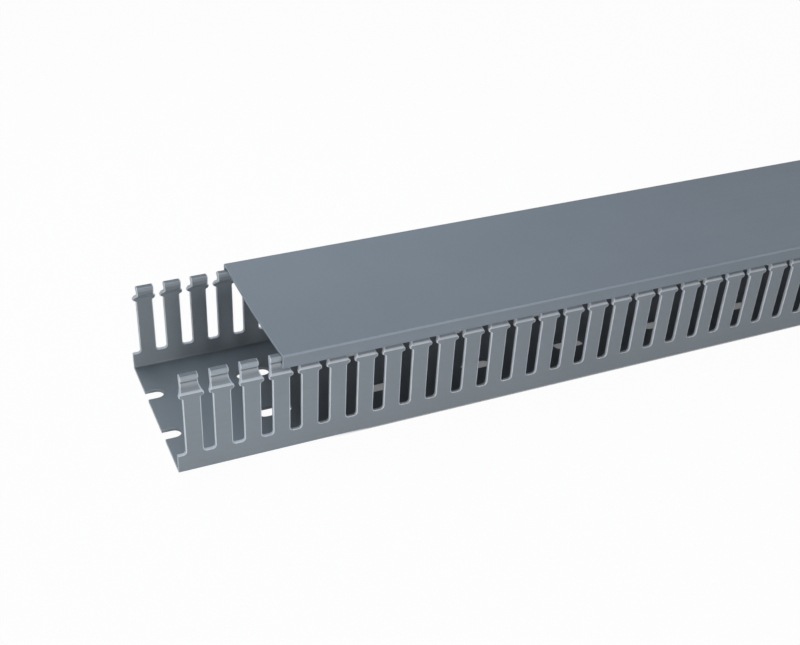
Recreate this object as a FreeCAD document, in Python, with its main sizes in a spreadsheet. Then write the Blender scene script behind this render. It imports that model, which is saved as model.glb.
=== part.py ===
import FreeCAD, Part
import math
import os
import Sketcher

# Slotted wire duct, in millimetres: an extruded channel whose two walls are
# punched into rows of fingers, and a cover that clips over them, slid back from one end.
# X runs along the duct, Z is up, and the origin is the middle of the underside.

SIZES = {
    # channel
    "duct_length": 500.0,
    "duct_width": 80.0,
    "duct_height": 45.4,
    "wall": 1.6,
    "corner_outside": 1.0,
    "corner_inside": 0.8,
    # slots between the fingers, as punched, with depths below the finger tops
    "finger_pitch": 12.5,
    "first_slot": 1.1,
    "slot_bottom": 9.0,
    "slot_width": 4.95,
    "slot_corner": 1.3,
    "ear_gap": 2.0,
    "ear_under_depth": 9.0,
    "ear_low_depth": 7.5,
    "ear_high_depth": 6.8,
    "neck_gap": 5.2,
    "neck_depth": 2.6,
    "neck_curve": 6.0,
    "head_gap": 4.8,
    "head_depth": 1.9,
    # fingers as extruded, with insets from the wall's outer face
    "shoulder_depth": 8.0,
    "shoulder_inset": 0.5,
    "cove_depth": 3.2,
    "cove_radius": 3.0,
    "bead_depth": 2.5,
    "bead_under": 0.6,
    "bead_inset": 1.6,
    "bead_top_inset": 2.0,
    "step_low_depth": 7.0,
    "step_high_depth": 3.8,
    "head_bevel": 0.5,
    # fixing slots in the floor
    "fixing_pitch": 50.0,
    "fixing_rows": 30.0,
    "fixing_width": 6.5,
    "fixing_length": 15.7,
    # cover, with its clearances from the fingers
    "cover_setback": 45.5,
    "cover_wall": 1.3,
    "cover_dish": 1.4,
    "cover_corner": 2.5,
    "plate_clearance": 0.5,
    "skirt_clearance": 0.5,
    "lip_clearance": 0.6,
    "neck_clearance": 0.8,
    "lip_slope": 0.6,
    "lip_edge": 0.5,
    "lip_lead": 0.6,
    "lip_lead_inset": 0.3,
}

SKETCH_ORIGIN = (-1, 1)
LEFT = 1
RIGHT = -1
OVERCUT = 2.0


class Length:
    """A length that knows its value now and the sheet formula that it follows."""

    def __init__(self, value, formula):
        self.value = value
        self.formula = formula

    def __add__(self, other):
        other = as_length(other)
        return Length(self.value + other.value, f"({self.formula} + {other.formula})")

    def __sub__(self, other):
        other = as_length(other)
        return Length(self.value - other.value, f"({self.formula} - {other.formula})")

    def __mul__(self, other):
        other = as_length(other)
        return Length(self.value * other.value, f"({self.formula} * {other.formula})")

    def __truediv__(self, other):
        other = as_length(other)
        return Length(self.value / other.value, f"({self.formula} / {other.formula})")

    def __neg__(self):
        return self * -1

    def half(self):
        return self / 2


def as_length(value):
    if isinstance(value, Length):
        return value
    return Length(float(value), str(float(value)))


def make_sheet(doc):
    """Writes every size to the sheet and returns each as a Length."""
    sheet = doc.addObject("Spreadsheet::Sheet", "sizes")
    lengths = {}
    for row, (name, value) in enumerate(SIZES.items(), start=1):
        sheet.set(f"A{row}", name)
        sheet.set(f"B{row}", str(value))
        sheet.setAlias(f"B{row}", name)
        lengths[name] = Length(value, f"sizes.{name}")
    doc.recompute()
    return lengths


def new_body(doc, label):
    body = doc.addObject("PartDesign::Body", label)
    body.Label = label
    return body


def new_sketch(body, name, plane):
    """An empty sketch on one of the body's own origin planes."""
    sketch = body.newObject("Sketcher::SketchObject", name)
    support = [item for item in body.Origin.OriginFeatures if item.Role == plane]
    sketch.AttachmentSupport = [(support[0], "")]
    sketch.MapMode = "FlatFace"
    return sketch


def bind(sketch, constraint, length):
    index = sketch.addConstraint(constraint)
    sketch.setExpression(f"Constraints[{index}]", length.formula)


def sketch_axis(direction):
    """The number by which constraints know the sketch's own axis in a direction."""
    return -1 if direction == "across" else -2


def pin_point(sketch, point, place):
    """Ties a point to its distances from the sketch's origin."""
    across, up = place
    for kind, distance, axis in (
        ("DistanceX", across, sketch_axis("upright")),
        ("DistanceY", up, sketch_axis("across")),
    ):
        if distance.value == 0:
            sketch.addConstraint(Sketcher.Constraint("PointOnObject", *point, axis))
        else:
            constraint = Sketcher.Constraint(kind, *SKETCH_ORIGIN, *point, distance.value)
            bind(sketch, constraint, distance)


def add_stretch(sketch, start, end, arc):
    """Adds a line, or an arc of a radius that bulges to one side, and returns its ends.

    A sketch's arc always runs anticlockwise, so one that bulges left starts at its end.
    """
    if arc is None:
        index = sketch.addGeometry(Part.LineSegment(start, end))
        return (index, 1), (index, 2)
    radius, side = arc
    chord = end - start
    leftward = FreeCAD.Vector(-chord.y, chord.x, 0).normalize()
    to_centre = max(radius.value ** 2 - (chord.Length / 2) ** 2, 0) ** 0.5
    centre = (start + end) * 0.5 - leftward * side * to_centre
    circle = Part.Circle(centre, FreeCAD.Vector(0, 0, 1), radius.value)
    first, last = (start, end) if side == RIGHT else (end, start)
    arc_of_circle = Part.ArcOfCircle(circle, circle.parameter(first), circle.parameter(last))
    index = sketch.addGeometry(arc_of_circle)
    bind(sketch, Sketcher.Constraint("Radius", index, radius.value), radius)
    if side == RIGHT:
        return (index, 1), (index, 2)
    return (index, 2), (index, 1)


def draw_outline(sketch, stops):
    """A closed outline through the stops: each is across, up and the arc that follows it."""
    places = [(as_length(across), as_length(up)) for across, up, _ in stops]
    starts = join_stretches(sketch, places, [arc for _, _, arc in stops])
    for start, place in zip(starts, places):
        pin_point(sketch, start, place)


def draw_mirrored_outline(sketch, half, over_top=None, under=None):
    """A closed outline, alike on both sides, from the stops of its right half.

    The arc over the top joins the last stop to its twin, and the arc under it joins
    the first stop's twin to the first stop.
    """
    places = [(as_length(across), as_length(up)) for across, up, _ in half]
    twins = [(-across, up) for across, up in reversed(places)]
    arcs = [arc for _, _, arc in half[:-1]]
    starts = join_stretches(sketch, places + twins, arcs + [over_top] + arcs[::-1] + [under])
    for start, twin, place in zip(starts, reversed(starts), places):
        pin_point(sketch, start, place)
        sketch.addConstraint(Sketcher.Constraint("Symmetric", *start, *twin, sketch_axis("upright")))


def join_stretches(sketch, places, arcs):
    """Draws the stretches round a closed outline, joins them and returns where each starts."""
    points = [FreeCAD.Vector(across.value, up.value, 0) for across, up in places]
    following = points[1:] + points[:1]
    stretches = [add_stretch(sketch, *ends) for ends in zip(points, following, arcs)]
    for (_, end), (start, _) in zip(stretches, stretches[1:] + stretches[:1]):
        sketch.addConstraint(Sketcher.Constraint("Coincident", *end, *start))
    return [start for start, _ in stretches]


def pad_along(body, name, sketch, length):
    pad = body.newObject("PartDesign::Pad", name)
    pad.Profile = sketch
    pad.setExpression("Length", length.formula)
    pad.Refine = False
    body.Tip = pad


def cut_through(body, name, sketch):
    """Cuts the sketch through everything on both sides of its plane."""
    pocket = body.newObject("PartDesign::Pocket", name)
    pocket.Profile = sketch
    pocket.Type = "ThroughAll"
    pocket.SideType = "Symmetric"
    pocket.Refine = False
    body.Tip = pocket
    return pocket


def repeat_along(body, name, feature, sketch, spacing, count_formula):
    pattern = body.newObject("PartDesign::LinearPattern", name)
    pattern.Originals = [feature]
    pattern.Direction = (sketch, ["H_Axis"])
    pattern.Mode = "Spacing"
    pattern.setExpression("Offset", spacing.formula)
    pattern.setExpression("Occurrences", count_formula)
    pattern.Refine = False
    body.Tip = pattern


def neck_face(size):
    """Where the neck's outer face is, from the middle plane: the cove runs in to it."""
    return size["duct_width"].half() - size["shoulder_inset"] - size["cove_radius"]


def bead_face(size):
    """Where the bead reaches furthest out, from the middle plane."""
    return size["duct_width"].half() - size["bead_inset"]


def channel_section(size):
    """Right half of the channel's section, from the underside round to the floor."""
    side = size["duct_width"].half()
    top = size["duct_height"]
    neck = neck_face(size)
    head = neck - size["wall"]
    inner = side - size["wall"]
    cove_top = top - size["cove_depth"]
    bead_low = top - size["bead_depth"]
    corner = size["corner_outside"]
    fillet = size["corner_inside"]
    shoulder = side - size["shoulder_inset"]
    return [
        (side - corner, 0, (corner, RIGHT)),
        (side, corner, None),
        (side, top - size["shoulder_depth"], None),
        (shoulder, cove_top - size["cove_radius"], (size["cove_radius"], LEFT)),
        (neck, cove_top, None),
        (neck, bead_low, None),
        (bead_face(size), bead_low + size["bead_under"], None),
        (side - size["bead_top_inset"], top, None),
        (head + size["head_bevel"], top, None),
        (head, top - size["head_bevel"], None),
        (head, top - size["step_high_depth"], None),
        (inner, top - size["step_low_depth"], None),
        (inner, size["wall"] + fillet, (fillet, LEFT)),
        (inner - fillet, size["wall"], None),
    ]


def finger_slot(size):
    """One slot as punched: straight sides, a narrow throat between the ears, a wide neck and mouth."""
    centre = size["first_slot"]
    half_slot = size["slot_width"].half()
    half_ears = size["ear_gap"].half()
    half_neck = size["neck_gap"].half()
    half_head = size["head_gap"].half()
    corner = size["slot_corner"]
    bottom = size["slot_bottom"]
    top = size["duct_height"]
    ear_under = top - size["ear_under_depth"]
    ear_low = top - size["ear_low_depth"]
    ear_high = top - size["ear_high_depth"]
    neck = top - size["neck_depth"]
    head = top - size["head_depth"]
    above = top + OVERCUT
    return [
        (centre + half_slot - corner, bottom, (corner, RIGHT)),
        (centre + half_slot, bottom + corner, None),
        (centre + half_slot, ear_under, None),
        (centre + half_ears, ear_low, None),
        (centre + half_ears, ear_high, (size["neck_curve"], RIGHT)),
        (centre + half_neck, neck, None),
        (centre + half_head, head, None),
        (centre + half_head, above, None),
        (centre - half_head, above, None),
        (centre - half_head, head, None),
        (centre - half_neck, neck, (size["neck_curve"], RIGHT)),
        (centre - half_ears, ear_high, None),
        (centre - half_ears, ear_low, None),
        (centre - half_slot, ear_under, None),
        (centre - half_slot, bottom + corner, (corner, RIGHT)),
        (centre - half_slot + corner, bottom, None),
    ]


def end_trim(size):
    """The open end of a cut length: the wall is gone from the cut to the first slot."""
    centre = size["first_slot"]
    above = size["duct_height"] + OVERCUT
    return [
        (-OVERCUT, size["slot_bottom"], None),
        (centre, size["slot_bottom"], None),
        (centre, above, None),
        (-OVERCUT, above, None),
    ]


def draw_fixing_slot(sketch, size, middle):
    """A slot with round ends, centred on the cut end and on the middle line of its row."""
    radius = size["fixing_width"].half()
    reach = size["fixing_length"].half() - radius
    rounds = []
    for place, turn in ((reach, -90), (-reach, 90)):
        centre = FreeCAD.Vector(place.value, middle.value, 0)
        circle = Part.Circle(centre, FreeCAD.Vector(0, 0, 1), radius.value)
        arc = Part.ArcOfCircle(circle, math.radians(turn), math.radians(turn + 180))
        rounds.append(sketch.addGeometry(arc))
        pin_point(sketch, (rounds[-1], 3), (place, middle))
    for one, other in (rounds, reversed(rounds)):
        side = Part.LineSegment(sketch.Geometry[one].EndPoint, sketch.Geometry[other].StartPoint)
        line = sketch.addGeometry(side)
        sketch.addConstraint(Sketcher.Constraint("Tangent", one, 2, line, 1))
        sketch.addConstraint(Sketcher.Constraint("Tangent", line, 2, other, 1))
    bind(sketch, Sketcher.Constraint("Radius", rounds[0], radius.value), radius)
    sketch.addConstraint(Sketcher.Constraint("Equal", *rounds))


def make_channel(doc, size):
    body = new_body(doc, "slotted_channel")
    section = new_sketch(body, "channel_section", "YZ_Plane")
    draw_mirrored_outline(section, channel_section(size))
    pad_along(body, "extrusion", section, size["duct_length"])

    fixing = new_sketch(body, "fixing_outline", "XY_Plane")
    half_rows = size["fixing_rows"].half()
    draw_fixing_slot(fixing, size, half_rows)
    draw_fixing_slot(fixing, size, -half_rows)
    fixing_cut = cut_through(body, "fixing_slot", fixing)
    fixing_count = "floor(sizes.duct_length / sizes.fixing_pitch) + 1"
    repeat_along(body, "fixing_slots", fixing_cut, fixing, size["fixing_pitch"], fixing_count)

    trim = new_sketch(body, "end_trim_outline", "XZ_Plane")
    draw_outline(trim, end_trim(size))
    cut_through(body, "end_trim", trim)

    slot = new_sketch(body, "finger_slot_outline", "XZ_Plane")
    draw_outline(slot, finger_slot(size))
    slot_cut = cut_through(body, "finger_slot", slot)
    slot_count = "floor(sizes.duct_length / sizes.finger_pitch) + 1"
    repeat_along(body, "finger_slots", slot_cut, slot, size["finger_pitch"], slot_count)
    body.setExpression("Placement.Base.x", "-1 * sizes.duct_length / 2")
    return body


def cover_section(size):
    """Right half of the cover's section: inner corner, the lip that clips on, skirt and corner.

    The skirt stands clear of the bead, and the lip reaches under it.
    """
    inner = bead_face(size) + size["skirt_clearance"]
    side = inner + size["cover_wall"]
    crown = size["duct_height"] + size["plate_clearance"] + size["cover_wall"]
    corner = size["cover_corner"]
    lip = neck_face(size) + size["neck_clearance"]
    lip_high = size["duct_height"] - size["bead_depth"] - size["lip_clearance"]
    lip_low = lip_high - size["lip_edge"]
    foot = lip_low - size["lip_lead"]
    return [
        (side - corner, crown - size["cover_wall"], (corner - size["cover_wall"], LEFT)),
        (inner, crown - corner, None),
        (inner, lip_high + size["lip_slope"], None),
        (lip, lip_high, None),
        (lip, lip_low, None),
        (inner - size["lip_lead_inset"], foot, None),
        (side, foot, None),
        (side, crown - corner, (corner, RIGHT)),
        (side - corner, crown, None),
    ]


def dish_radius(size):
    """Radius of the shallow arc that the cover's top sags by between its corners."""
    reach = bead_face(size) + size["skirt_clearance"] + size["cover_wall"] - size["cover_corner"]
    sag = size["cover_dish"]
    return (reach * reach + sag * sag) / (sag * 2)


def make_cover(doc, size):
    body = new_body(doc, "duct_cover")
    section = new_sketch(body, "cover_section", "YZ_Plane")
    radius = dish_radius(size)
    draw_mirrored_outline(section, cover_section(size), (radius, LEFT), (radius, RIGHT))
    pad_along(body, "extrusion", section, size["duct_length"])
    body.setExpression("Placement.Base.x", "sizes.cover_setback - sizes.duct_length / 2")
    return body


def check_document(doc):
    """Stops if any object failed, because a recompute can leave one failed in silence."""
    for item in doc.Objects:
        if {"Invalid", "Error"} & set(item.State):
            raise RuntimeError(f"{item.Name} failed: {item.State}")


def check_body(body):
    if body.Shape.isNull() or not body.Shape.isValid():
        raise RuntimeError(f"{body.Label} has no valid shape")
    if len(body.Shape.Solids) != 1:
        raise RuntimeError(f"{body.Label} is {len(body.Shape.Solids)} solids")


doc = FreeCAD.newDocument("slotted_wire_duct")
size = make_sheet(doc)
bodies = [make_channel(doc, size), make_cover(doc, size)]
doc.recompute()
check_document(doc)
for body in bodies:
    check_body(body)

os.makedirs("parts", exist_ok=True)
for body in bodies:
    body.Shape.exportStep(f"parts/{body.Label}.step")
    print(body.Label, round(body.Shape.Volume / 1000, 2), "cm3", body.Shape.BoundBox)
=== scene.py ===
import math

import bmesh
import bpy
from mathutils import Matrix, Quaternion, Vector


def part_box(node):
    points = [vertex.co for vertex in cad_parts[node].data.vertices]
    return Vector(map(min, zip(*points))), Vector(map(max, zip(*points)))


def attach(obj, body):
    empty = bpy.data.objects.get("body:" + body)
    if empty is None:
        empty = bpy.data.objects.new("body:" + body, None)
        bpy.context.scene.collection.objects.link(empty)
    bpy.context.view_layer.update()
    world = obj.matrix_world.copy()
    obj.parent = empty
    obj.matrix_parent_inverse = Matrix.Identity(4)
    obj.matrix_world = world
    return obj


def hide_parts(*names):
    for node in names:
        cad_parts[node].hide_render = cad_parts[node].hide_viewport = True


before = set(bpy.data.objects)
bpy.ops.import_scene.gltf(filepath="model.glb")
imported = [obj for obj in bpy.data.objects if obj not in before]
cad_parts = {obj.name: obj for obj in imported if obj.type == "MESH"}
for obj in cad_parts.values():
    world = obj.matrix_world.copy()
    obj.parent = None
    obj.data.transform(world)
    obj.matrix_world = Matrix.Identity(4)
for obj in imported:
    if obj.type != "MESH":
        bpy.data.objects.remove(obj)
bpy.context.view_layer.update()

# Slotted wire duct with its cover slid back. Shapes are worked out in millimetres from
# the open end of the duct, and turned to metres when a mesh is finished.

MM = 0.001
duct_low, duct_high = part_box("slotted_channel")
cover_low, cover_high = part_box("duct_cover")

# how near two places count as one, and the least step between two heights of a finger
NEAR = 0.001
MERGE = 0.002
LEVEL_STEP = 0.11

# an edge that turns further than this, in degrees, stays sharp
SHARP_ANGLE = 38

# channel: its section, its finger slots and the rounding of its edges
LENGTH = (duct_high.x - duct_low.x) / MM
SIDE = duct_high.y / MM
TOP = duct_high.z / MM
WALL = 1.6
PITCH = 12.5
FIRST_SLOT = 1.1
SLOT_BOTTOM = 9.0
HALF_SLOT = 2.475
SLOT_CORNER = 1.3
CORNER_OUTSIDE = 1.0
CORNER_INSIDE = 0.8
FLOOR_JOIN = 4.0
PUNCHED_ROUND = 0.4
CHANNEL_END_ROUND = 0.12

# how pale each kind of face is, from 0 as extruded to 1 as cut: cut faces whiten, and on the rounded
# and punched edges, slot bottoms and head sides the paleness is also a painted highlight; on the ridge,
# bead, cove, head top and folds it is painted highlight only
ROUND_WHITE_AND_HIGHLIGHT = 0.92
PUNCHED_WHITE_AND_HIGHLIGHT = 0.8
BOTTOM_WHITE_AND_HIGHLIGHT = 1.0
HEAD_SIDE_WHITE_AND_HIGHLIGHT = 1.0
RIDGE_HIGHLIGHT = 0.65
BEAD_HIGHLIGHT = 0.28
COVE_HIGHLIGHT = 0.2
HEAD_TOP_HIGHLIGHT = 0.18
FIXING_PALE = 0.07
FOLD_HIGHLIGHT = 0.7
CHANNEL_END_PALE = 0.58
COVER_END_PALE = 1.0

# half the gap between two fingers, from the ears up to the heads
EAR_UNDER = TOP - 9.2
EAR_BEND = (0.25, 0.4)
EAR_TIP = TOP - 7.7
EAR_SLOPE = (0.2, 0.6)
EAR_GAP = 1.0
NECK_START = TOP - 7.3
NECK_END = TOP - 2.6
NECK_CURVE = 6.0
NECK_GAP = 2.45
HEAD_GAP = 2.4

# outer face of a finger's head: ridge, cove, crease in the neck and bead, with arcs in degrees
RIDGE_LOW = TOP - 7.0
RIDGE_HIGH = TOP - 5.95
RIDGE_HEIGHT = TOP - 6.7
RIDGE_RADIUS = 0.9
RIDGE_TURN = (0, 75)
COVE_CENTRE = SIDE - 0.5
COVE_HEIGHT = TOP - 3.2
COVE_RADIUS = 2.3
COVE_TURN = (-106, -168)
NECK_FACE = COVE_CENTRE - COVE_RADIUS
CREASE = TOP - 2.85
CREASE_DEPTH = 0.6
HALF_CREASE = 0.3
BEAD_CENTRE = SIDE - 3.4
BEAD_HEIGHT = TOP - 1.1
BEAD_RADIUS = 1.1
BEAD_TURN = (-42, 52)
BEAD_UNDER = 0.75
BEAD_FLAT = 0.5

# inner face of a finger's head, and the fine lines along its top
HEAD_FACE = NECK_FACE - 2.8
HEAD_LOW = TOP - 2.2
HEAD_ROUND = 0.5
HEAD_CHAMFER = 0.15
STEP_LOW = TOP - 7.0
STEP_FOOT = (0.2, 0.3)
STEP_HIGH = TOP - 3.8
STEP_BEND = (0.25, 0.3)
TOP_LINES = (HEAD_FACE + 1.1, HEAD_FACE + 2.1)
LINE_WIDTH = 0.25
LINE_DEPTH = 0.3
LINE_END = 0.3

# fixing slots
FIXING_PITCH = 50.0
FIXING_ROW = 15.0
FIXING_RADIUS = 3.25
FIXING_LENGTH = 15.7
FIXING_REACH = FIXING_LENGTH / 2 - FIXING_RADIUS
FIXING_LIP = 0.2
FIXING_CURVE = FIXING_LIP * 0.3

# cover
COVER_SIDE = cover_high.y / MM
COVER_CROWN = cover_high.z / MM
COVER_FOOT = cover_low.z / MM
COVER_LENGTH = (cover_high.x - cover_low.x) / MM
COVER_WALL = 1.3
COVER_END_ROUND = 0.2
COVER_CORNER = 1.0
COVER_INSIDE = 0.5
COVER_DISH = 1.4
DISH_STEPS = 8
LIP_FACE = NECK_FACE + 0.3
LIP_TOP = COVER_FOOT + 1.7
LIP_HIGH = COVER_FOOT + 1.1
LIP_LOW = COVER_FOOT + 0.6
FOOT_BREAK = 0.3

# pattern in the plastic; the real lines and grain are finer, and are drawn as coarse as they
# need to show
DIE_LINE_LENGTH = 180.0
DIE_LINE_WIDTH = 1.1
GRAIN_SIZE = 0.6
CLOUD_SIZE = 45.0
RELIEF_HEIGHT = 0.06
RELIEF_STRENGTH = 0.25
GRAIN_SHARE = 0.35
SHADES = (0.96, 1.04)
ROUGHNESS = (0.48, 0.6)

# how much of the floor the camera sees as plain white, and how much less beneath the cover
FLOOR_GLOW = 0.97
COVERED_LOSS = 0.84

# floor in metres: half its size, its drop below the duct, and the limits of its shaded part
FLOOR_REACH = 6.0
FLOOR_DROP = 0.0005
SHADE_START = cover_low.x + 0.02
SHADE_FULL = cover_low.x + 0.04
SHADE_FADING = duct_high.x - 0.06
SHADE_END = duct_high.x - 0.002
SHADE_SIDE = duct_high.y - 0.0005

# picture, and the camera's place from the open end's front lower corner
PICTURE_WIDTH = 800
FOCAL_PIXELS = 1098.5
SENSOR = 36.0
SHIFT = 0.1
CAMERA_PLACE = (-73.81, -341.51, 294.95)
AZIMUTH = 21.59
ELEVATION = 32.65
ROLL = 0.56


def arc(across, up, radius, start, end, steps):
    """Points (across, up) on an arc, with its angles in degrees from straight out."""
    angles = [math.radians(start + (end - start) * i / steps) for i in range(steps + 1)]
    return [(across + radius * math.cos(a), up + radius * math.sin(a)) for a in angles]


def at_height(stops, height):
    """The first number of the stops at a height, straight between two stops."""
    for (low, below), (high, above) in zip(stops, stops[1:]):
        if below <= height <= above:
            share = (height - below) / max(above - below, 1e-9)
            return low + (high - low) * share
    return stops[-1][0] if height > stops[-1][1] else stops[0][0]


def lies_at(part, axis, place):
    """True for an edge or face whose corners all lie at a place along an axis."""
    return all(abs(v.co[axis] - place) < NEAR for v in part.verts)


def outer_face():
    """The finger's outer face: ridge, cove, neck and the bead under its top."""
    stops = [(SIDE, SLOT_BOTTOM)]
    stops += arc(SIDE - RIDGE_RADIUS, RIDGE_HEIGHT, RIDGE_RADIUS, *RIDGE_TURN, 5)
    stops += arc(COVE_CENTRE, COVE_HEIGHT, COVE_RADIUS, *COVE_TURN, 5)
    stops += [(NECK_FACE, CREASE - HALF_CREASE), (NECK_FACE - CREASE_DEPTH, CREASE),
              (NECK_FACE, CREASE + HALF_CREASE)]
    stops += arc(BEAD_CENTRE, BEAD_HEIGHT, BEAD_RADIUS, *BEAD_TURN, 6)
    return stops + [(BEAD_CENTRE + BEAD_FLAT, TOP)]


def inner_face():
    """The finger's inner face: straight up, then stepping in under the head."""
    wall_face = SIDE - WALL
    stops = [(wall_face, SLOT_BOTTOM), (wall_face, STEP_LOW - STEP_FOOT[1])]
    stops += [(wall_face - STEP_FOOT[0], STEP_LOW)]
    stops += [(HEAD_FACE + STEP_BEND[0], STEP_HIGH - STEP_BEND[1])]
    stops += [(HEAD_FACE, STEP_HIGH + HEAD_CHAMFER), (HEAD_FACE, TOP - HEAD_ROUND)]
    return stops + [(HEAD_FACE + HEAD_CHAMFER, TOP - HEAD_CHAMFER), (HEAD_FACE + HEAD_ROUND, TOP)]


def half_gap():
    """Half the gap between two fingers: straight, closing at the ears, opening at the neck."""
    chord = math.hypot(NECK_GAP - EAR_GAP, NECK_END - NECK_START)
    middle = ((EAR_GAP + NECK_GAP) / 2, (NECK_START + NECK_END) / 2)
    to_centre = math.sqrt(NECK_CURVE ** 2 - (chord / 2) ** 2)
    lean = ((NECK_END - NECK_START) / chord, (EAR_GAP - NECK_GAP) / chord)
    centre = (middle[0] - lean[0] * to_centre, middle[1] - lean[1] * to_centre)
    start = math.degrees(math.atan2(NECK_START - centre[1], EAR_GAP - centre[0]))
    end = math.degrees(math.atan2(NECK_END - centre[1], NECK_GAP - centre[0]))
    stops = [(HALF_SLOT, SLOT_BOTTOM), (HALF_SLOT, EAR_UNDER)]
    stops += [(HALF_SLOT - EAR_BEND[0], EAR_UNDER + EAR_BEND[1])]
    stops += [(EAR_GAP + EAR_SLOPE[0], EAR_TIP - EAR_SLOPE[1]), (EAR_GAP, EAR_TIP)]
    stops += arc(*centre, NECK_CURVE, start, end, 6)
    return stops + [(HEAD_GAP, BEAD_HEIGHT - BEAD_UNDER), (HEAD_GAP, TOP)]


def finger_levels(*outlines):
    """The heights at which a finger's section changes, without near doubles."""
    heights = sorted(up for stops in outlines for _, up in stops if up > SLOT_BOTTOM)
    levels = []
    for height in heights:
        if not levels or height - levels[-1] > LEVEL_STEP:
            levels.append(height)
    levels[-1] = TOP
    return levels


def section_face(bm, points, x):
    """A flat face across the duct from its points, and its corners in order."""
    corners = [bm.verts.new((x, -across, up)) for across, up in points]
    return bm.faces.new(corners), corners


def round_corner(bm, corner, radius):
    """Rounds one corner of a flat section."""
    bmesh.ops.bevel(bm, geom=[corner], offset=radius, segments=4, profile=0.5,
                    affect="VERTICES", material=-1)


def extrude_to(bm, face, offset, keep_start=True):
    """Extrudes a face along an offset and returns the new face at its end."""
    grown = bmesh.ops.extrude_face_region(bm, geom=[face])["geom"]
    moved = [item for item in grown if isinstance(item, bmesh.types.BMVert)]
    bmesh.ops.translate(bm, vec=offset, verts=moved)
    if not keep_start:
        bmesh.ops.delete(bm, geom=[face], context="FACES_ONLY")
    return [item for item in grown if isinstance(item, bmesh.types.BMFace)][0]


def wall_foot(left, right):
    """The low part of the wall below the slots, with its piece of floor, open at both ends."""
    bm = bmesh.new()
    join = SIDE - FLOOR_JOIN
    points = [(join, 0), (SIDE, 0), (SIDE, SLOT_BOTTOM), (SIDE - WALL, SLOT_BOTTOM),
              (SIDE - WALL, WALL), (join, WALL)]
    _, corners = section_face(bm, points, left)
    round_corner(bm, corners[1], CORNER_OUTSIDE)
    round_corner(bm, corners[4], CORNER_INSIDE)
    extrude_to(bm, bm.faces[:][0], (right - left, 0, 0))
    bmesh.ops.recalc_face_normals(bm, faces=bm.faces)
    open_faces = [f for f in bm.faces if abs(f.normal.x) > 0.9 or lies_at(f, 1, -join)]
    bmesh.ops.delete(bm, geom=open_faces, context="FACES_ONLY")
    return bm


def grow_finger(bm, outer, inner, gap):
    """Grows a finger from the middle of the foot's top, level by level."""
    half_width = PITCH / 2 - HALF_SLOT
    for x in (-half_width, half_width):
        top_faces = [f for f in bm.faces if lies_at(f, 2, SLOT_BOTTOM)]
        near = {item for f in top_faces for item in [f, *f.edges, *f.verts]}
        bmesh.ops.bisect_plane(bm, geom=list(near), plane_co=(x, 0, 0), plane_no=(1, 0, 0))
    top_faces = [f for f in bm.faces if lies_at(f, 2, SLOT_BOTTOM)]
    face = min(top_faces, key=lambda f: abs(f.calc_center_median().x))
    for height in finger_levels(outer, inner, gap):
        face = extrude_to(bm, face, (0, 0, 0), keep_start=False)
        middle = face.calc_center_median()
        for corner in face.verts:
            side = math.copysign(PITCH / 2 - at_height(gap, height), corner.co.x)
            across = at_height(outer if corner.co.y < middle.y else inner, height)
            corner.co = (side, -across, height)


def is_punched(face):
    """True for a face that the punch left: the sides of the fingers and the slot bottoms."""
    normal = face.normal
    if abs(normal.y) > 0.01:
        return False
    by_bottom = abs(face.calc_center_median().z - SLOT_BOTTOM) < 1
    return abs(normal.x) > 0.2 or (normal.z > 0.5 and by_bottom)


def round_punched_edges(bm, rim):
    """Rounds the edges where punched faces meet the extruded ones, and paints the punched faces and the
    rounding paler: cut whitening together with a painted highlight.
    """
    bmesh.ops.recalc_face_normals(bm, faces=bm.faces)
    edges = [e for e in bm.edges if len(e.link_faces) == 2
             and is_punched(e.link_faces[0]) != is_punched(e.link_faces[1])]
    for face in bm.faces:
        pale = BOTTOM_WHITE_AND_HIGHLIGHT if face.normal.z > 0.5 else PUNCHED_WHITE_AND_HIGHLIGHT
        face[rim] = pale if is_punched(face) else 0.0
    made = bmesh.ops.bevel(bm, geom=edges, offset=PUNCHED_ROUND, segments=3, profile=0.5,
                           affect="EDGES", material=-1, loop_slide=True, clamp_overlap=False)
    for face in made["faces"]:
        face[rim] = ROUND_WHITE_AND_HIGHLIGHT


def finger_module():
    """One pitch of the front wall, centred on its finger, with every edge rounded."""
    bm = wall_foot(-PITCH / 2, PITCH / 2)
    rim = bm.faces.layers.float.new("rim")
    grow_finger(bm, outer_face(), inner_face(), half_gap())
    inside = PITCH / 2 - 1
    root = [e for e in bm.edges if lies_at(e, 2, SLOT_BOTTOM)]
    across_root = [e for e in root if lies_at(e, 1, e.verts[0].co.y)
                   and all(abs(v.co.x) < inside for v in e.verts)]
    bmesh.ops.dissolve_edges(bm, edges=across_root, use_verts=False)
    corners = [e for e in bm.edges if lies_at(e, 2, SLOT_BOTTOM) and lies_at(e, 0, e.verts[0].co.x)
               and abs(e.verts[0].co.x) < inside]
    bmesh.ops.bevel(bm, geom=corners, offset=SLOT_CORNER, segments=5, profile=0.5,
                    affect="EDGES", material=-1)
    round_punched_edges(bm, rim)
    paint_head_highlights(bm, rim)
    groove_top(bm)
    return bm


def paint_head_highlights(bm, rim):
    """Paints the head paler: its punched sides most, as cut whitening with a painted highlight, then a
    painted highlight on the ridge and the bead, a weaker one on the cove, and the weakest on the top of
    its inner face."""
    bead_low = CREASE + HALF_CREASE
    bm.normal_update()
    for face in bm.faces:
        height = face.calc_center_median().z
        if height < RIDGE_LOW:
            continue
        if face[rim] > 0:
            face[rim] = HEAD_SIDE_WHITE_AND_HIGHLIGHT
        elif face.normal.y < -0.1:
            above_ridge = BEAD_HIGHLIGHT if height > bead_low else COVE_HIGHLIGHT
            face[rim] = above_ridge if height > RIDGE_HIGH else RIDGE_HIGHLIGHT
        elif face.normal.y > 0.1 and height > HEAD_LOW:
            face[rim] = HEAD_TOP_HIGHLIGHT


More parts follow.
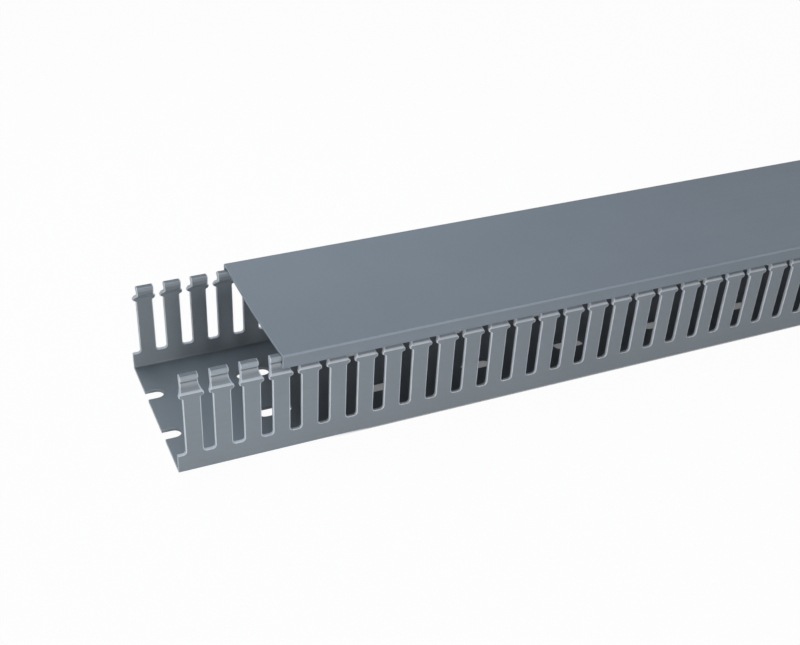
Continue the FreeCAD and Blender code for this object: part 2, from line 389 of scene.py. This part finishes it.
def groove_top(bm):
    """Two fine lines along the top of the head, stopping short of its sides."""
    def level_top():
        return [f for f in bm.faces if lies_at(f, 2, TOP)]

    reach = max(v.co.x for f in level_top() for v in f.verts) - LINE_END
    cuts = [((0, side * LINE_WIDTH / 2 - line, 0), (0, 1, 0)) for line in TOP_LINES for side in (-1, 1)]
    cuts += [((side * reach, 0, 0), (1, 0, 0)) for side in (-1, 1)]
    for place, normal in cuts:
        near = {item for f in level_top() for item in [f, *f.edges, *f.verts]}
        bmesh.ops.bisect_plane(bm, geom=list(near), plane_co=place, plane_no=normal)
    for face in level_top():
        middle = face.calc_center_median()
        if abs(middle.x) < reach and any(abs(middle.y + line) < LINE_WIDTH / 2 for line in TOP_LINES):
            extrude_to(bm, face, (0, 0, -LINE_DEPTH), keep_start=False)


def slot_ring(bm, middle, grow, height):
    """A loop of edges with round ends, round one fixing slot."""
    x, y = middle
    points = []
    for turn, shift in ((-90, FIXING_REACH), (90, -FIXING_REACH)):
        points += arc(x + shift, y, FIXING_RADIUS + grow, turn, turn + 180, 8)
    ring = [bm.verts.new((along, across, height)) for along, across in points]
    return [bm.edges.new(pair) for pair in zip(ring, ring[1:] + ring[:1])]


def floor_half(joints):
    """Half of the floor from the front wall's join to the middle, with one row of fixing slots."""
    bm = bmesh.new()
    rim = bm.faces.layers.float.new("rim")
    # the slots' edge from the top down: how far outside the slot, and how high
    profile = [(FIXING_LIP, WALL), (FIXING_CURVE, WALL - FIXING_CURVE), (0, WALL - FIXING_LIP),
               (0, FIXING_LIP / 2), (FIXING_LIP / 2, 0)]
    slots = range(round(LENGTH / FIXING_PITCH) + 1)
    stacks = [[slot_ring(bm, (k * FIXING_PITCH, -FIXING_ROW), grow, up) for grow, up in profile]
              for k in slots]
    for stack in stacks:
        for upper, lower in zip(stack, stack[1:]):
            made = bmesh.ops.bridge_loops(bm, edges=upper + lower)
            for face in made["faces"]:
                face[rim] = FIXING_PALE
    for index, height in ((0, WALL), (-1, 0)):
        border = [bm.verts.new((x, FLOOR_JOIN - SIDE, height)) for x in joints]
        border += [bm.verts.new((x, 0, height)) for x in (joints[-1], joints[0])]
        edges = [bm.edges.new(pair) for pair in zip(border, border[1:] + border[:1])]
        edges += [edge for stack in stacks for edge in stack[index]]
        bmesh.ops.triangle_fill(bm, edges=edges, use_beauty=True, normal=(0, 0, 1 if height else -1))
    return bm


def add_copy(bm, part, shift):
    """Adds a copy of a part's mesh, moved along the duct."""
    mesh = bpy.data.meshes.new("part")
    part.to_mesh(mesh)
    mesh.transform(Matrix.Translation((shift, 0, 0)))
    bm.from_mesh(mesh)
    bpy.data.meshes.remove(mesh)


def saw_end(bm, x, outward, rim):
    """Cuts the duct square at x, closes the cut and breaks its edge."""
    bmesh.ops.bisect_plane(bm, geom=bm.verts[:] + bm.edges[:] + bm.faces[:], plane_co=(x, 0, 0),
                           plane_no=(outward, 0, 0), clear_outer=True)
    cut = [e for e in bm.edges if e.is_boundary and lies_at(e, 0, x)]
    closed = bmesh.ops.holes_fill(bm, edges=cut, sides=0)["faces"]
    bmesh.ops.recalc_face_normals(bm, faces=bm.faces)
    made = bmesh.ops.bevel(bm, geom=list({e for f in closed for e in f.edges}),
                           offset=CHANNEL_END_ROUND, segments=2, profile=0.5, affect="EDGES",
                           material=-1, clamp_overlap=False)
    for face in made["faces"] + [f for f in bm.faces if lies_at(f, 0, x)]:
        face[rim] = CHANNEL_END_PALE


def finish_mesh(bm, name, x_start):
    """Places a mesh along the duct, turns it to metres and makes its object."""
    bmesh.ops.translate(bm, vec=(x_start / MM, 0, 0), verts=bm.verts)
    bmesh.ops.scale(bm, vec=(MM, MM, MM), verts=bm.verts)
    bmesh.ops.recalc_face_normals(bm, faces=bm.faces)
    for face in bm.faces:
        face.smooth = True
    for edge in bm.edges:
        turn = math.degrees(edge.calc_face_angle(0))
        edge.smooth = len(edge.link_faces) == 2 and turn < SHARP_ANGLE
    mesh = bpy.data.meshes.new(name)
    bm.to_mesh(mesh)
    bm.free()
    piece = bpy.data.objects.new(name, mesh)
    bpy.context.scene.collection.objects.link(piece)
    normals = piece.modifiers.new("even_shading", "WEIGHTED_NORMAL")
    normals.keep_sharp = True
    return piece


def make_channel():
    """The channel: its front half from copies of one finger, mirrored, and sawn at both ends."""
    bm = bmesh.new()
    rim = bm.faces.layers.float.new("rim")
    count = math.floor(LENGTH / PITCH)
    joints = [FIRST_SLOT + PITCH * k for k in range(-1, count + 2)]
    finger = finger_module()
    for k in range(count):
        add_copy(bm, finger, FIRST_SLOT + PITCH * (k + 0.5))
    finger.free()
    foot = wall_foot(0, PITCH)
    round_punched_edges(foot, foot.faces.layers.float.new("rim"))
    for start in (joints[0], joints[-2]):
        add_copy(bm, foot, start)
    foot.free()
    floor = floor_half(joints)
    add_copy(bm, floor, 0)
    floor.free()
    bmesh.ops.remove_doubles(bm, verts=bm.verts, dist=MERGE)
    bmesh.ops.mirror(bm, geom=bm.verts[:] + bm.edges[:] + bm.faces[:], matrix=Matrix.Identity(4),
                     merge_dist=MERGE, axis="Y")
    bmesh.ops.remove_doubles(bm, verts=bm.verts, dist=MERGE)
    saw_end(bm, 0, -1, rim)
    saw_end(bm, LENGTH, 1, rim)
    return finish_mesh(bm, "channel_body", duct_low.x)


def cover_half():
    """Right half of the cover's section, from its middle underneath round to its middle on top."""
    inner = COVER_SIDE - COVER_WALL
    underside = COVER_CROWN - COVER_WALL

    def dished(reach, crown):
        shares = [i / DISH_STEPS for i in range(DISH_STEPS)]
        return [(reach * share, crown - COVER_DISH * (1 - share ** 2)) for share in shares]

    under = dished(inner - COVER_INSIDE, underside)[1:]
    under += arc(inner - COVER_INSIDE, underside - COVER_INSIDE, COVER_INSIDE, 90, 0, 3)
    lip = [(inner, LIP_TOP), (LIP_FACE, LIP_HIGH), (LIP_FACE, LIP_LOW),
           (inner - FOOT_BREAK, COVER_FOOT), (COVER_SIDE, COVER_FOOT)]
    fold = COVER_SIDE - COVER_CORNER
    over = arc(fold, COVER_CROWN - COVER_CORNER, COVER_CORNER, 0, 90, 6)
    return under + lip + over + dished(fold, COVER_CROWN)[:0:-1]


def make_cover():
    """The cover: its section drawn along the duct, with its sawn ends marked pale and a painted
    highlight along its folds.
    """
    bm = bmesh.new()
    rim = bm.faces.layers.float.new("rim")
    half = cover_half()
    middle_under = [(0, COVER_CROWN - COVER_WALL - COVER_DISH)]
    middle_over = [(0, COVER_CROWN - COVER_DISH)]
    other = [(-across, up) for across, up in reversed(half)]
    face, _ = section_face(bm, middle_under + half + middle_over + other, 0)
    extrude_to(bm, face, (COVER_LENGTH, 0, 0))
    bmesh.ops.recalc_face_normals(bm, faces=bm.faces)
    ends = [f for f in bm.faces if abs(f.normal.x) > 0.9]
    made = bmesh.ops.bevel(bm, geom=list({e for f in ends for e in f.edges}), offset=COVER_END_ROUND,
                           segments=2, profile=0.5, affect="EDGES", material=-1)
    bm.normal_update()
    for face in bm.faces:
        # a painted highlight along the cover's rounded folds
        if abs(face.normal.y) > 0.2 and face.normal.z > 0.2:
            face[rim] = FOLD_HIGHLIGHT
    for face in made["faces"] + [f for f in bm.faces if abs(f.normal.x) > 0.9]:
        face[rim] = COVER_END_PALE
    return finish_mesh(bm, "cover_body", cover_low.x)


def linear(hex_colour):
    """An sRGB hex colour as linear RGBA."""
    parts = [int(hex_colour[i:i + 2], 16) / 255 for i in (1, 3, 5)]
    return [p / 12.92 if p <= 0.04045 else ((p + 0.055) / 1.055) ** 2.4 for p in parts] + [1.0]


def add_node(tree, kind, settings=None, links=None):
    """Adds a node, sets its properties and sockets, and links its inputs."""
    node = tree.nodes.new(kind)
    for name, value in (settings or {}).items():
        if isinstance(name, str) and hasattr(node, name):
            setattr(node, name, value)
        else:
            node.inputs[name].default_value = value
    for name, socket in (links or {}).items():
        tree.links.new(socket, node.inputs[name])
    return node


def extruded_pvc(name, body_hex, edge_hex):
    """Rigid PVC as extruded: satin, with faint lines along the duct from the die and a fine grain.
    Punched and sawn edges are paler, because rigid PVC whitens where it is cut. The same paleness also
    paints highlights: on the rounded punched edges, the slot bottoms and the heads, and on the cover's
    folds."""
    material = bpy.data.materials.new(name)
    material.use_nodes = True
    tree = material.node_tree
    tree.nodes.clear()
    place = add_node(tree, "ShaderNodeTexCoord").outputs["Object"]
    along, across = 1 / (DIE_LINE_LENGTH * MM), 1 / (DIE_LINE_WIDTH * MM)
    die_lines = add_node(tree, "ShaderNodeMapping", {"Scale": (along, across, across)},
                         {"Vector": place})
    lines = add_node(tree, "ShaderNodeTexNoise", {"Scale": 1.0, "Detail": 3.0, "Roughness": 0.6},
                     {"Vector": die_lines.outputs["Vector"]})
    grain = add_node(tree, "ShaderNodeTexNoise", {"Scale": 1 / (GRAIN_SIZE * MM), "Detail": 2.0},
                     {"Vector": place})
    cloud = add_node(tree, "ShaderNodeTexNoise", {"Scale": 1 / (CLOUD_SIZE * MM), "Detail": 2.0},
                     {"Vector": place})
    edge = add_node(tree, "ShaderNodeAttribute", {"attribute_name": "rim"})

    shade = add_node(tree, "ShaderNodeMath", {"operation": "ADD"},
                     {0: lines.outputs["Fac"], 1: cloud.outputs["Fac"]})
    level = add_node(tree, "ShaderNodeMapRange",
                     {"From Min": 0.7, "From Max": 1.3, "To Min": SHADES[0], "To Max": SHADES[1]},
                     {"Value": shade.outputs["Value"]})
    tinted = add_node(tree, "ShaderNodeMix",
                      {"data_type": "RGBA", "clamp_factor": True,
                       6: linear(body_hex), 7: linear(edge_hex)},
                      {"Factor": edge.outputs["Fac"]})
    varied = add_node(tree, "ShaderNodeVectorMath", {"operation": "SCALE"},
                      {0: tinted.outputs[2], "Scale": level.outputs["Result"]})
    rough = add_node(tree, "ShaderNodeMapRange",
                     {"From Min": 0.3, "From Max": 0.7, "To Min": ROUGHNESS[0], "To Max": ROUGHNESS[1]},
                     {"Value": lines.outputs["Fac"]})
    relief = add_node(tree, "ShaderNodeMath", {"operation": "MULTIPLY_ADD", 1: GRAIN_SHARE},
                      {0: grain.outputs["Fac"], 2: lines.outputs["Fac"]})
    bump = add_node(tree, "ShaderNodeBump",
                    {"Strength": RELIEF_STRENGTH, "Distance": RELIEF_HEIGHT * MM},
                    {"Height": relief.outputs["Value"]})
    plastic = add_node(tree, "ShaderNodeBsdfPrincipled", {"IOR": 1.53, "Metallic": 0.0},
                       {"Base Color": varied.outputs["Vector"], "Roughness": rough.outputs["Result"],
                        "Normal": bump.outputs["Normal"]})
    add_node(tree, "ShaderNodeOutputMaterial", {}, {"Surface": plastic.outputs["BSDF"]})
    return material


def seen_share(tree, share):
    """A share where the camera, a gloss or a glass looks, and nothing where light falls."""
    rays = add_node(tree, "ShaderNodeLightPath")
    looks = rays.outputs["Is Camera Ray"]
    for other in ("Is Glossy Ray", "Is Transmission Ray"):
        looks = add_node(tree, "ShaderNodeMath", {"operation": "MAXIMUM"},
                         {0: looks, 1: rays.outputs[other]}).outputs["Value"]
    shared = add_node(tree, "ShaderNodeMath", {"operation": "MULTIPLY", 1: share}, {0: looks})
    return shared.outputs["Value"]


def under_cover(tree):
    """A mask of the floor beneath the covered duct: 1 there, 0 elsewhere."""
    place = add_node(tree, "ShaderNodeTexCoord").outputs["Object"]
    spot = add_node(tree, "ShaderNodeSeparateXYZ", {}, {0: place})
    from_cover = add_node(tree, "ShaderNodeMapRange",
                          {"From Min": SHADE_START, "From Max": SHADE_FULL},
                          {"Value": spot.outputs["X"]})
    to_far_end = add_node(tree, "ShaderNodeMapRange",
                          {"From Min": SHADE_END, "From Max": SHADE_FADING},
                          {"Value": spot.outputs["X"]})
    away = add_node(tree, "ShaderNodeMath", {"operation": "ABSOLUTE"}, {0: spot.outputs["Y"]})
    within = add_node(tree, "ShaderNodeMath", {"operation": "LESS_THAN", 1: SHADE_SIDE},
                      {0: away.outputs["Value"]})
    length = add_node(tree, "ShaderNodeMath", {"operation": "MULTIPLY"},
                      {0: from_cover.outputs["Result"], 1: to_far_end.outputs["Result"]})
    both = add_node(tree, "ShaderNodeMath", {"operation": "MULTIPLY"},
                    {0: length.outputs["Value"], 1: within.outputs["Value"]})
    return both.outputs["Value"]


def studio_floor():
    """A pale floor that the camera sees nearly white, with the duct's faint shadow around it. It
    is darker beneath the covered part, where the fixing slots show it."""
    bm = bmesh.new()
    bmesh.ops.create_grid(bm, x_segments=1, y_segments=1, size=FLOOR_REACH)
    mesh = bpy.data.meshes.new("studio_floor")
    bm.to_mesh(mesh)
    bm.free()
    floor = bpy.data.objects.new("studio_floor", mesh)
    floor.location.z = -FLOOR_DROP
    bpy.context.scene.collection.objects.link(floor)
    material = bpy.data.materials.new("pale_paper")
    material.use_nodes = True
    tree = material.node_tree
    tree.nodes.clear()
    paper = add_node(tree, "ShaderNodeBsdfDiffuse", {"Color": linear("#F0F1F2")})
    glow = add_node(tree, "ShaderNodeEmission", {"Color": linear("#FFFFFF"), "Strength": 1.0})
    open_floor = add_node(tree, "ShaderNodeMath",
                          {"operation": "MULTIPLY_ADD", 1: -COVERED_LOSS, 2: 1.0},
                          {0: under_cover(tree)})
    share = add_node(tree, "ShaderNodeMath", {"operation": "MULTIPLY"},
                     {0: seen_share(tree, FLOOR_GLOW), 1: open_floor.outputs["Value"]})
    seen = add_node(tree, "ShaderNodeMixShader", {},
                    {0: share.outputs["Value"], 1: paper.outputs["BSDF"], 2: glow.outputs["Emission"]})
    add_node(tree, "ShaderNodeOutputMaterial", {}, {"Surface": seen.outputs["Shader"]})
    mesh.materials.append(material)


def studio_world(strength):
    """White where the camera, a gloss or a glass looks, and a plain soft light elsewhere."""
    world = bpy.data.worlds.new("studio")
    bpy.context.scene.world = world
    world.use_nodes = True
    tree = world.node_tree
    tree.nodes.clear()
    light = add_node(tree, "ShaderNodeBackground", {"Color": linear("#F8F9FA"), "Strength": strength})
    white = add_node(tree, "ShaderNodeBackground", {"Color": linear("#FFFFFF"), "Strength": 1.0})
    mixed = add_node(tree, "ShaderNodeMixShader", {},
                     {0: seen_share(tree, 1.0), 1: light.outputs["Background"],
                      2: white.outputs["Background"]})
    add_node(tree, "ShaderNodeOutputWorld", {}, {"Surface": mixed.outputs["Shader"]})


def soft_lamp(name, place, aim, size, power, tint="#FFFFFF"):
    """A square lamp at a place in metres, turned to what it lights."""
    lamp = bpy.data.lights.new(name, "AREA")
    lamp.color = linear(tint)[:3]
    lamp.size = size
    lamp.energy = power
    stand = bpy.data.objects.new(name, lamp)
    stand.location = place
    stand.rotation_mode = "QUATERNION"
    stand.rotation_quaternion = (Vector(aim) - Vector(place)).to_track_quat("-Z", "Y")
    stand.visible_camera = False
    bpy.context.scene.collection.objects.link(stand)


def make_camera():
    """The photograph's view, on the open end and the cover's near edge."""
    azimuth, elevation = math.radians(AZIMUTH), math.radians(ELEVATION)
    forward = Vector((math.sin(azimuth) * math.cos(elevation), math.cos(azimuth) * math.cos(elevation),
                      -math.sin(elevation)))
    camera = bpy.data.cameras.new("camera")
    camera.sensor_width = SENSOR
    camera.lens = FOCAL_PIXELS / PICTURE_WIDTH * SENSOR
    camera.shift_x = SHIFT
    stand = bpy.data.objects.new("camera", camera)
    corner = Vector((duct_low.x, duct_low.y, duct_low.z))
    stand.location = corner + Vector(CAMERA_PLACE) * MM
    stand.rotation_mode = "QUATERNION"
    roll = Quaternion((0, 0, 1), math.radians(ROLL))
    stand.rotation_quaternion = forward.to_track_quat("-Z", "Y") @ roll
    bpy.context.scene.collection.objects.link(stand)
    bpy.context.scene.camera = stand


def dress(piece, body, node, material):
    """Gives a piece its plastic, hangs it under its body and hides the CAD node it stands for."""
    piece.data.materials.append(material)
    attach(piece, body)
    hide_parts(node)


bpy.context.scene.view_settings.view_transform = "Standard"
dress(make_channel(), "channel", "slotted_channel",
      extruded_pvc("extruded_pvc_duct", "#7C858C", "#CED5DD"))
dress(make_cover(), "cover", "duct_cover",
      extruded_pvc("extruded_pvc_cover", "#7A848E", "#9CA6B0"))
studio_floor()
studio_world(strength=0.095)
soft_lamp("front_lamp", (-0.5, -0.85, 0.11), (-0.15, 0, 0), 0.2, 3.05, "#FFFDFC")
soft_lamp("low_lamp", (-0.3, -0.6, 0.03), (-0.2, 0, 0.02), 0.2, 1.02, "#FFFDFC")
soft_lamp("top_lamp", (-0.17, 0.14, 0.44), (-0.15, 0, 0.02), 0.33, 0.97, "#E6F3FF")
soft_lamp("left_lamp", (-1.27, -0.2, 0.19), (-0.1, 0, 0.02), 0.6, 1.5)
soft_lamp("right_lamp", (2.6, 0, 1.3), (-0.1, 0, 0.02), 1.2, 9.5, "#EEF6FF")
soft_lamp("rear_lamp", (-0.5, 1.3, 0.85), (-0.1, 0, 0.02), 0.8, 3.0)
make_camera()
